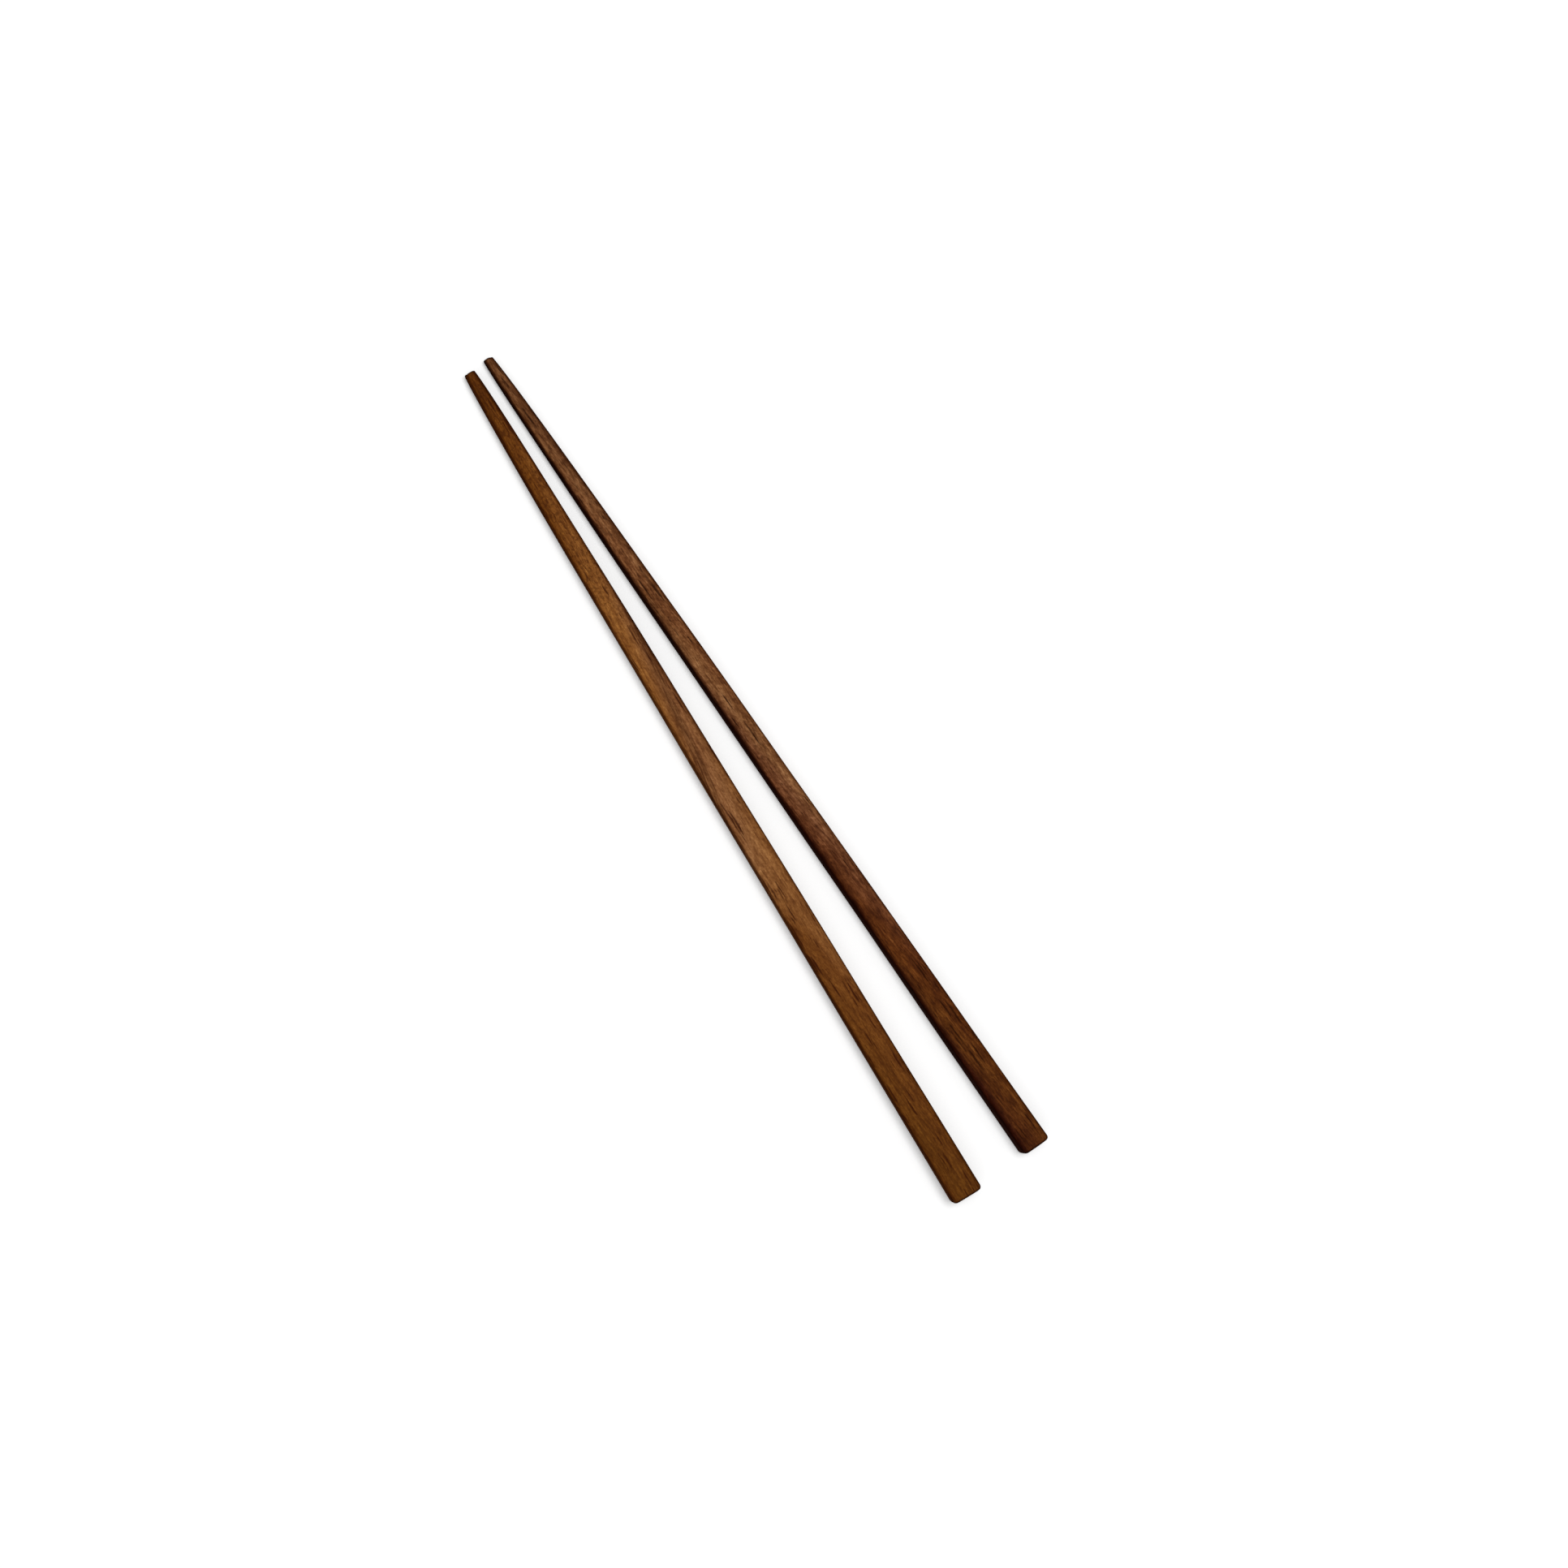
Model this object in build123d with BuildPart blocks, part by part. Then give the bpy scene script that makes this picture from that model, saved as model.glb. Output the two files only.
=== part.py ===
from build123d import *
import os
from math import radians, sqrt, tan

# Sizes that both sticks share, in millimetres
LENGTH = 230.0  # butt to tip
HANDLE_LENGTH = 105.0  # flat-sided, evenly tapered stretch from the butt, which the stick lies on
NOSE_LENGTH = 8.0  # stretch before the tip where the fore curve turns in most
EDGE_RADIUS = 0.9  # rounding along the four long edges
BUTT_ROUNDING = 0.6  # rounding of the edges round the butt's end face
TIP_CROWN = 0.35  # height of the shallow dome that ends the tip

# Square sizes of each stick: they were shaped one by one and are not quite alike
LEFT_BUTT = 7.8
LEFT_SHOULDER = 6.5  # where the handle ends and the fore curve begins
LEFT_TIP = 2.5
RIGHT_BUTT = 7.2
RIGHT_SHOULDER = 5.85
RIGHT_TIP = 2.2

# Degrees by which the flanks were planed out of square, to the right going up
LEFT_LEAN = 2.0
RIGHT_LEAN = 5.5

# How the two sticks lie beside each other
SPREAD_ANGLE = 3.62  # degrees between the axes, which close towards the tips
BUTT_SPACING = 20.15  # across, between the middles of the butts
BUTT_STAGGER = 0.6  # how far the left butt lies behind the right one

# A long edge's rounding leaves this share of the tip's width flat, or more
TIP_FLAT_SHARE = 0.3


def chopstick(bench, butt, shoulder, tip, lean):
    """A stick that lies on the bench plane, from the middle of its butt at the origin along the plane's Y."""
    taper = (butt - shoulder) / HANDLE_LENGTH
    # The fore curve leaves along the handle's taper, and its middle control point is still on it
    bend = LENGTH - NOSE_LENGTH
    bend_size = butt - taper * bend
    # The blank is longer than the stick by what the tip's dome takes off its end
    end = LENGTH + TIP_CROWN
    # The underside of the handle is flat on the bench, so the axis sinks with half the taper
    end_middle = (butt - taper * end) / 2
    side = Plane(bench.origin, x_dir=bench.y_dir, z_dir=bench.x_dir)
    upward = bench.z_dir + bench.x_dir * tan(radians(lean))

    with BuildPart() as stick:
        # Outline from above, carried up and down along the leaning flanks
        with BuildSketch(bench.offset(butt / 2)):
            with BuildLine():
                Line((butt / 2, 0), (shoulder / 2, HANDLE_LENGTH))
                Bezier((shoulder / 2, HANDLE_LENGTH), (bend_size / 2, bend), (tip / 2, end))
                mirror(about=Plane.YZ)
                Line((-butt / 2, 0), (butt / 2, 0))
                Line((-tip / 2, end), (tip / 2, end))
            make_face()
        extrude(amount=butt, dir=upward, both=True)

        # Outline from the side, which keeps what lies between the underside and the top
        with BuildSketch(side):
            with BuildLine():
                Line((0, 0), (HANDLE_LENGTH, 0))
                Bezier((HANDLE_LENGTH, 0), (bend, 0), (end, end_middle - tip / 2))
                Line((end, end_middle - tip / 2), (end, end_middle + tip / 2))
                Bezier((end, end_middle + tip / 2), (bend, bend_size), (HANDLE_LENGTH, shoulder))
                Line((HANDLE_LENGTH, shoulder), (0, butt))
                Line((0, butt), (0, 0))
            make_face()
        extrude(amount=2 * butt, both=True, mode=Mode.INTERSECT)

        # The long edges are rounded enough to leave the tip nearly round and the butt still square
        long_edges = stick.edges().filter_by(lambda edge: edge.length > 2 * butt)
        fillet(long_edges, min(EDGE_RADIUS, tip * (1 - TIP_FLAT_SHARE) / 2))
        butt_face = stick.faces().sort_by(Axis(bench.origin, bench.y_dir))[0]
        fillet(butt_face.edges(), BUTT_ROUNDING)

        # The tip is turned to a dome that passes the blank's corners at its crown's depth
        corner = tip / sqrt(2)
        dome_radius = (corner**2 + TIP_CROWN**2) / (2 * TIP_CROWN)
        with BuildSketch(side):
            with BuildLine():
                rim = (LENGTH - TIP_CROWN, end_middle + corner)
                RadiusArc((LENGTH, end_middle), rim, -dome_radius)
                Polyline(rim, (end + TIP_CROWN, end_middle + corner), (end + TIP_CROWN, end_middle))
                Line((end + TIP_CROWN, end_middle), (LENGTH, end_middle))
            make_face()
        middle = side.from_local_coords((LENGTH, end_middle, 0))
        revolve(axis=Axis(middle, bench.y_dir), mode=Mode.SUBTRACT)
    return stick


# The origin lies on the bench under the middle of the pair
shift = (LEFT_BUTT - RIGHT_BUTT) / 4
back = -(LENGTH + BUTT_STAGGER) / 2
left_bench = Plane(Location((shift - BUTT_SPACING / 2, back, 0), (0, 0, -SPREAD_ANGLE / 2)))
right_bench = Plane(Location((shift + BUTT_SPACING / 2, back + BUTT_STAGGER, 0), (0, 0, SPREAD_ANGLE / 2)))

left_chopstick = chopstick(left_bench, LEFT_BUTT, LEFT_SHOULDER, LEFT_TIP, LEFT_LEAN)
left_chopstick.part.label = "left_chopstick"
right_chopstick = chopstick(right_bench, RIGHT_BUTT, RIGHT_SHOULDER, RIGHT_TIP, RIGHT_LEAN)
right_chopstick.part.label = "right_chopstick"

os.makedirs("parts", exist_ok=True)
export_step(left_chopstick.part, "parts/left_chopstick.step")
export_step(right_chopstick.part, "parts/right_chopstick.step")
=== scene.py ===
"""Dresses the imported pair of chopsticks: carved sticks in oiled walnut on a white table, seen from above."""
import logging
import math
from dataclasses import dataclass, field
from enum import Enum
from typing import Iterable, Union

import bpy
import numpy as np
from bpy.types import ID, Material, Mesh, Node, NodeTree, Object, World
from bpy.types import NodeSocket as Socket
from mathutils import Matrix, Vector


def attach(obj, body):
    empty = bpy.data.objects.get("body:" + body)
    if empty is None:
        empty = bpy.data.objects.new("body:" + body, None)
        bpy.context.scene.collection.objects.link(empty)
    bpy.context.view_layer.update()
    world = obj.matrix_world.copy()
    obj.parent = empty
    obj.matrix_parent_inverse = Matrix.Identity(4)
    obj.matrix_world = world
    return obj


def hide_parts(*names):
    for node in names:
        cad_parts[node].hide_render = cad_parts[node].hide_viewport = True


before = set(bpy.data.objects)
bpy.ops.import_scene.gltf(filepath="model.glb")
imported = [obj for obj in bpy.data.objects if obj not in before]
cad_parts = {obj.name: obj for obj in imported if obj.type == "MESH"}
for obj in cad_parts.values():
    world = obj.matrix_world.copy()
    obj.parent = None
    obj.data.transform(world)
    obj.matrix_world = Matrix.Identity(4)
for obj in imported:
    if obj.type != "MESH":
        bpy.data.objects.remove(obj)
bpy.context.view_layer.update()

log = logging.getLogger("chopsticks")

MM = 0.001
BODY = "root"

# Sizes that both sticks share, in millimetres, as the CAD part has them
LENGTH = 230.0
HANDLE_LENGTH = 105.0
NOSE_LENGTH = 8.0
TIP_CROWN = 0.35

# Rings of a stick's surface: many along the body, and closer ones on the last stretch before the tip
CLOSER_RINGS_FROM = 205.0
BODY_RINGS = 200
NOSE_RINGS = 40

# The form of a stick's surface, with lengths in millimetres
EDGE_SHARE = 0.43  # the most of the square's size that the rounding of a long edge takes
END_SHARPNESS = 0.4  # share by which a long edge is less rounded on an end
FLAT_LEFT = 0.02  # half the flat that the roundings leave at least
FLAT_CROWN = 0.08  # how far a flat is crowned at the butt
TIP_WORK = 1.2  # how far before the tip its chips and its fall begin
TIP_WORK_FULL = 0.2  # how far before the tip they are full

# The painted shade of a stick: shares, and facings from 0, straight up or down, to 1, straight sideways
EDGE_START = 0.45  # facing at which the shade of a long edge starts on the handle
EDGE_START_DROP = 0.2  # how much sooner it starts on the fore part
EDGE_EASE = 0.4  # how much further the edge has to turn until its shade is full
FLANK_MIDDLE = 0.2  # share of the edge shade in the middle of a flank
HANDLE_SIDE = 0.4  # share of the side shade on the handle
END_FACE = 0.45  # share of the end mask mid end face, darkening end grain inside the rim of painted shade

# The unrolled sheet that a stick's bake map is cut from, in millimetres
STRIPS = 3
SHEET_GAP = 1.2
SHEET_MARGIN = 2.0
FAN_HEIGHT = 0.4
# Row and column steps to the four corners of a face
QUAD_STEPS = ((0, 0), (1, 0), (1, 1), (0, 1))

# What the sockets of node groups hold, where it isn't a plain value
SOCKET_KINDS = {"Position": "Vector", "Tone": "Color", "Heartwood": "Color", "Vessel": "Color",
                "Colour": "Color"}

Number = Union[float, Socket]
Pair = tuple[float, float]
Triple = tuple[float, float, float]
Shade = tuple[float, float, float, float]


def linear(colour: Triple) -> Shade:
    """Turns a display colour of 0 to 255 into the linear colour, with an alpha of 1, that nodes take."""
    display = np.array(colour) / 255.0
    value = np.where(display <= 0.04045, display / 12.92, ((display + 0.055) / 1.055) ** 2.4)
    return (*value.tolist(), 1.0)


def grey(value: float) -> Shade:
    """Gives a linear grey."""
    return (value, value, value, 1.0)


def by_name(sockets: Iterable[Socket]) -> dict[str, Socket]:
    """Lists sockets by their names."""
    return {socket.name: socket for socket in sockets}


def put(name: str, data: ID) -> Object:
    """Makes an object of a mesh, lamp or camera and links it to the scene."""
    piece = bpy.data.objects.new(name, data)
    bpy.context.scene.collection.objects.link(piece)
    return piece


class NodeBoard:
    """A node tree with short ways to add nodes and to join their sockets."""

    def __init__(self, tree: NodeTree) -> None:
        """Takes the tree to fill."""
        self.tree = tree

    @classmethod
    def fresh(cls, owner: Union[Material, World]) -> "NodeBoard":
        """Empties the node tree of a new material or world, and takes it."""
        owner.use_nodes = True
        owner.node_tree.nodes.clear()
        return cls(owner.node_tree)

    def add(self, kind: str, **settings: object) -> Node:
        """Adds a shader node.

        Args:
            kind: The node's type name without its ShaderNode prefix.
            **settings: Properties of the node.

        Returns:
            The new node.
        """
        node = self.tree.nodes.new("ShaderNode" + kind)
        for name, value in settings.items():
            setattr(node, name, value)
        return node

    def feed(self, socket: Socket, value: object) -> None:
        """Links the socket to another socket, or sets it to a plain value."""
        if isinstance(value, Socket):
            self.tree.links.new(value, socket)
        else:
            socket.default_value = value

    def fill(self, node: Node, *values: object, **named: object) -> Node:
        """Feeds a node's inputs.

        Args:
            node: The node.
            *values: Values or sockets for its first inputs, in their order.
            **named: Values or sockets for inputs by name, with an underscore for each space.

        Returns:
            The node.
        """
        for socket, value in zip(node.inputs, values):
            self.feed(socket, value)
        for name, value in named.items():
            self.feed(node.inputs[name.replace("_", " ")], value)
        return node

    def out(self, kind: str, *values: object, **named: object) -> Socket:
        """Adds a node, feeds its inputs as fill does, and gives its first output."""
        return self.fill(self.add(kind), *values, **named).outputs[0]

    def math(self, operation: str, *values: Number) -> Socket:
        """Works out one sum of values, in the operation's order."""
        return self.fill(self.add("Math", operation=operation), *values).outputs[0]

    def times(self, first: Number, second: Number, plus: Number = 0.0) -> Socket:
        """Multiplies two values and adds a third."""
        return self.math("MULTIPLY_ADD", first, second, plus)

    def shifted(self, position: Socket, by: Socket) -> Socket:
        """Adds a value to all three places of a position."""
        return self.fill(self.add("VectorMath", operation="ADD"), position, by).outputs[0]

    def split(self, position: Socket) -> tuple[Socket, ...]:
        """Takes a position apart into its places across, along and up."""
        return tuple(self.fill(self.add("SeparateXYZ"), position).outputs)

    def join(self, across: Number, along: Number, up: Number) -> Socket:
        """Puts a position together from its places."""
        return self.out("CombineXYZ", across, along, up)

    def painted(self, mask: str) -> Socket:
        """Reads a mask that is painted on the mesh."""
        return self.add("Attribute", attribute_name=mask).outputs["Fac"]

    def smooth(self, value: Number, start: Number, stop: Number,
               low: Number = 0.0, high: Number = 1.0) -> Socket:
        """Eases from low to high as the value goes from start to stop."""
        node = self.add("MapRange", interpolation_type="SMOOTHSTEP")
        self.fill(node, Value=value, From_Min=start, From_Max=stop, To_Min=low, To_Max=high)
        return node.outputs["Result"]

    def mapped(self, position: Socket, location: Triple = (0.0, 0.0, 0.0),
               rotation: Triple = (0.0, 0.0, 0.0), scale: Triple = (1.0, 1.0, 1.0)) -> Socket:
        """Multiplies a position by the scale, turns it, in radians, and then moves it to the location."""
        return self.out("Mapping", Vector=position, Location=location, Rotation=rotation, Scale=scale)

    def noise(self, position: Socket, scale: Triple, detail: float = 2.0, roughness: float = 0.5,
              distortion: float = 0.0) -> Socket:
        """Reads soft noise, mostly 0.2 to 0.8, whose scale is lumps to a millimetre across, along and up."""
        place = self.mapped(position, scale=scale)
        return self.out("TexNoise", Vector=place, Scale=1.0, Detail=detail, Roughness=roughness,
                        Distortion=distortion)

    def mix(self, first: object, second: object, share: Number, blend: str = "MIX") -> Socket:
        """Mixes two colours.

        Args:
            first: The colour at a share of 0.
            second: The colour mixed in.
            share: How much of it is mixed in.
            blend: The way of mixing.

        Returns:
            The mixed colour's socket.
        """
        node = self.add("Mix", data_type="RGBA", blend_type=blend)
        # The node's colour sockets come after those that it has for values and for positions
        for number, value in ((0, share), (6, first), (7, second)):
            self.feed(node.inputs[number], value)
        return node.outputs[2]


class WoodGroup(Enum):
    """The effects that both sticks' wood is put together from."""

    FLOW = "walnut_flow"
    RINGS = "walnut_rings"
    FIBRES = "walnut_fibres"
    VESSELS = "walnut_vessels"
    RIPPLE = "walnut_ripple"
    # Heartwood down the left side, with painted shade on the left flank
    HEART = "walnut_heart"
    STAIN = "walnut_stain"


@dataclass
class WoodGroups:
    """Builds each shared effect once, as a node group, and keeps it by its name.

    A pair is where an easing starts and where it ends: a place along from the butt, or a value of noise.
    The cell's sizes are in millimetres.
    """

    noise_range: Pair = (0.3, 0.7)
    fibre_swing: float = 1.6
    twist_ends: Pair = (55.0, 125.0)
    streak_range: Pair = (0.56, 0.38)
    band_core: float = 0.35
    vessel_cell: Triple = (0.62, 7.5, 0.62)
    vessel_chance: Pair = (0.36, 0.9)
    vessel_crowd: Pair = (0.36, 0.54)
    vessel_rag: float = 0.4
    vessel_core: float = 0.4
    fleck_change: Pair = (120.0, 195.0)
    fleck_softness: float = 0.13
    burl_start: Pair = (130.0, 190.0)
    burl_range: Pair = (0.49, 0.37)
    ripple_degrees: float = 35.0
    ripple_core: float = 0.4
    ripple_far: float = 0.35
    # The dark left side, heartwood that is painted shade on the left flank: its widening, waver and softness
    heart_and_shade_widens: Pair = (80.0, 0.0)
    heart_and_shade_waver: float = 0.36
    heart_and_shade_softness: float = 0.2
    level_powers: Triple = (0.9, 1.15, 1.4)
    made: dict[WoodGroup, NodeTree] = field(default_factory=dict)

    def build(self) -> None:
        """Makes the seven groups."""
        for make in (self.flow, self.rings, self.fibres, self.vessels, self.ripple, self.heart, self.stain):
            make()

    def start(self, kind: WoodGroup, inputs: tuple[str, ...],
              outputs: tuple[str, ...]) -> tuple[NodeBoard, dict[str, Socket], Node]:
        """Starts a group with named sockets.

        Args:
            kind: Which effect it is.
            inputs: The inputs' names.
            outputs: The outputs' names.

        Returns:
            The group's board, its given values by name, and its output node.
        """
        tree = bpy.data.node_groups.new(kind.value, "ShaderNodeTree")
        for side, names in (("INPUT", inputs), ("OUTPUT", outputs)):
            for name in names:
                socket_type = "NodeSocket" + SOCKET_KINDS.get(name, "Float")
                tree.interface.new_socket(name, in_out=side, socket_type=socket_type)
        self.made[kind] = tree
        given = by_name(tree.nodes.new("NodeGroupInput").outputs)
        return (NodeBoard(tree), given, tree.nodes.new("NodeGroupOutput"))

    def place(self, board: NodeBoard, kind: WoodGroup, **values: object) -> dict[str, Socket]:
        """Places an effect in a material, with inputs named as in fill, and gives its outputs by name."""
        node = board.add("Group", node_tree=self.made[kind])
        return by_name(board.fill(node, **values).outputs)

    def flow(self) -> None:
        """The place as the fibres run: they slant across the stick and swing slowly from side to side."""
        board, given, result = self.start(WoodGroup.FLOW, ("Position", "Slant", "Seed"), ("Position",))
        across, along, up = board.split(given["Position"])
        swing = board.noise(board.join(across, along, given["Seed"]), (0.06, 0.03, 1.0), detail=1.0)
        slanted = board.times(along, given["Slant"], across)
        moved = board.times(swing, self.fibre_swing, slanted)
        board.fill(result, Position=board.join(moved, along, up))

    def rings(self) -> None:
        """Depth through the growth rings, in millimetres.

        The rings are near-flat layers. Depth is the place across, plus a share of the height, less a drift
        along the stick, plus a slow waver, so ring lines cross a face at a slant. Lines are fine light and
        dark layers that follow the depth. Streaks are thin dark lines close together, in one band of depth.
        Towards the butt the layers twist, so there the place across counts only by the twist.
        """
        inputs = ("Position", "Drift", "Slant", "Start", "Waver", "Twist", "Band", "Band Width")
        board, given, result = self.start(WoodGroup.RINGS, inputs, ("Depth", "Lines", "Streaks"))
        across, along, up = board.split(given["Position"])
        waver = board.times(board.noise(given["Position"], (0.16, 0.022, 0.16)), 2.0, -1.0)
        turned = board.smooth(along, *self.twist_ends, given["Twist"], 1.0)
        depth = board.times(up, given["Slant"], board.times(across, turned))
        depth = board.math("SUBTRACT", depth, board.times(along, given["Drift"]))
        depth = board.math("ADD", depth, given["Start"])
        depth = board.times(waver, given["Waver"], depth)
        layer = board.join(depth, along, up)
        lines = board.noise(layer, (2.6, 0.035, 0.3), detail=3.0, roughness=0.6)
        streaks = board.smooth(board.noise(layer, (3.6, 0.11, 0.3)), *self.streak_range)
        away = board.math("ABSOLUTE", board.math("SUBTRACT", depth, given["Band"]))
        inside = board.smooth(away, given["Band Width"], board.times(given["Band Width"], self.band_core))
        board.fill(result, Depth=depth, Lines=board.smooth(lines, *self.noise_range),
                   Streaks=board.times(streaks, inside))

    def fibres(self) -> None:
        """Marks along the fibres.

        Broad streaks are a millimetre wide and as long as a finger joint. Grain is a busy pattern of short
        marks a third of a millimetre wide. Hair is finer, felt is a fine nap with hardly a direction of its
        own, and mottle is a soft cloud over all of them.
        """
        scales = {"Broad": (0.75, 0.035, 0.75), "Grain": (2.3, 0.3, 2.3), "Hair": (4.6, 0.85, 4.6),
                  "Felt": (2.4, 1.9, 2.4), "Mottle": (0.55, 0.14, 0.55)}
        board, given, result = self.start(WoodGroup.FIBRES, ("Position", "Seed"), tuple(scales))
        position = board.shifted(given["Position"], given["Seed"])
        for name, scale in scales.items():
            value = board.noise(position, scale, detail=3.0, roughness=0.62)
            board.fill(result, **{name: board.smooth(value, *self.noise_range)})

    def vessels(self) -> None:
        """Cut-open vessels: short dark dashes along the fibres.

        The wood is filled with long cells, each with one vessel round a random point. A vessel shows where
        the distance to that point is under its own radius, which the amount, the cell's chance and the crowd
        set. The crowd follows the fibres, so vessels stand in lines, and fine noise makes their rims ragged.
        Flecks are ragged specks between them, and more of them from the shoulder on, where burl adds short
        marks that curl across the fibres.
        """
        inputs = ("Position", "Seed", "Amount", "Handle Flecks", "Fore Flecks", "Burl")
        board, given, result = self.start(WoodGroup.VESSELS, inputs, ("Mask", "Flecks"))
        position = board.shifted(given["Position"], given["Seed"])
        along = board.split(position)[1]
        bend = board.noise(position, (0.7, 0.16, 0.7), detail=1.0)
        shrunk = board.mapped(position, scale=tuple(1 / size for size in self.vessel_cell))
        cells = board.add("TexVoronoi", feature="F1", distance="EUCLIDEAN")
        board.fill(cells, Vector=board.shifted(shrunk, bend), Scale=1.0, Randomness=1.0)
        likely = board.smooth(board.out("SeparateColor", cells.outputs["Color"]), *self.vessel_chance)
        crowd = board.noise(position, (0.9, 0.013, 0.9), detail=1.0)
        share = board.times(likely, board.smooth(crowd, *self.vessel_crowd))
        radius = board.times(given["Amount"], share)
        rag = board.noise(position, (2.8, 0.9, 2.8))
        near = board.math("SUBTRACT", cells.outputs["Distance"], self.vessel_rag / 2)
        distance = board.times(rag, self.vessel_rag, near)

        flecks = board.noise(position, (2.1, 0.46, 2.1), detail=4.0, roughness=0.65)
        limit = board.smooth(along, *self.fleck_change, given["Handle Flecks"], given["Fore Flecks"])
        specks = board.smooth(flecks, limit, board.math("SUBTRACT", limit, self.fleck_softness))
        curl = board.noise(position, (1.8, 1.0, 1.8), detail=3.0, distortion=0.8)
        near_tip = board.smooth(along, *self.burl_start, 0.0, given["Burl"])
        burl = board.times(board.smooth(curl, *self.burl_range), near_tip)
        board.fill(result, Mask=board.smooth(distance, radius, board.times(radius, self.vessel_core)),
                   Flecks=board.math("MAXIMUM", specks, burl))

    def ripple(self) -> None:
        """Light and dark patches slanting across the fibres, strongest round one place along the stick.

        They are figure in the wood with its chatoyant shimmer painted in, as a painted sheen.
        """
        board, given, result = self.start(WoodGroup.RIPPLE, ("Position", "Middle", "Reach"), ("Ripple",))
        turned = board.mapped(given["Position"], rotation=(0.0, 0.0, math.radians(self.ripple_degrees)))
        bands = board.noise(turned, (0.4, 1.5, 0.4), detail=4.0, roughness=0.65)
        along = board.split(given["Position"])[1]
        away = board.math("ABSOLUTE", board.math("SUBTRACT", along, given["Middle"]))
        core = board.times(given["Reach"], self.ripple_core)
        here = board.smooth(away, given["Reach"], core, self.ripple_far, 1.0)
        lit = board.times(board.smooth(bands, *self.noise_range), 2.0, -1.0)
        board.fill(result, Ripple=board.times(lit, here))

    def heart(self) -> None:
        """Dark heartwood down the left side of a stick, with painted shade on the left flank.

        The place across goes from -1 at the left flank to 1 at the right one. The dark side starts at a
        wavering line, is full a little further out, and widens near the butt. It is heartwood, and on the
        left flank it is also painted shade.
        """
        inputs = ("Position", "Across", "Line", "Widening")
        board, given, result = self.start(WoodGroup.HEART, inputs, ("Mask",))
        waver = board.noise(given["Position"], (0.5, 0.06, 0.5))
        along = board.split(given["Position"])[1]
        wider = board.smooth(along, *self.heart_and_shade_widens, 0.0, given["Widening"])
        line = board.math("ADD", given["Line"], wider)
        line = board.math("ADD", line, board.times(waver, self.heart_and_shade_waver, -self.heart_and_shade_waver / 2))
        past = board.math("SUBTRACT", line, given["Across"])
        board.fill(result, Mask=board.smooth(past, -self.heart_and_shade_softness, self.heart_and_shade_softness))

    def stain(self) -> None:
        """Puts the wood's colour together.

        Heartwood, with the painted shade of the left flank, is mixed over the tone. The level, which carries
        grain and painted shade, darkens both, green and blue more than red, so dark grain and painted shade
        are redder. Vessels are mixed over the result.
        """
        inputs = ("Tone", "Level", "Heartwood", "Heart", "Vessel", "Dashes")
        board, given, result = self.start(WoodGroup.STAIN, inputs, ("Colour",))
        levels = [board.math("POWER", given["Level"], power) for power in self.level_powers]
        heart = board.mix(given["Tone"], given["Heartwood"], given["Heart"])
        lit = board.mix(heart, board.out("CombineColor", *levels), 1.0, "MULTIPLY")
        board.fill(result, Colour=board.mix(lit, given["Vessel"], given["Dashes"]))


@dataclass(frozen=True)
class Tone:
    """A display colour of the wood and the ring depth, in millimetres, at which it lies."""

    depth: float
    colour: Triple


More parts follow.
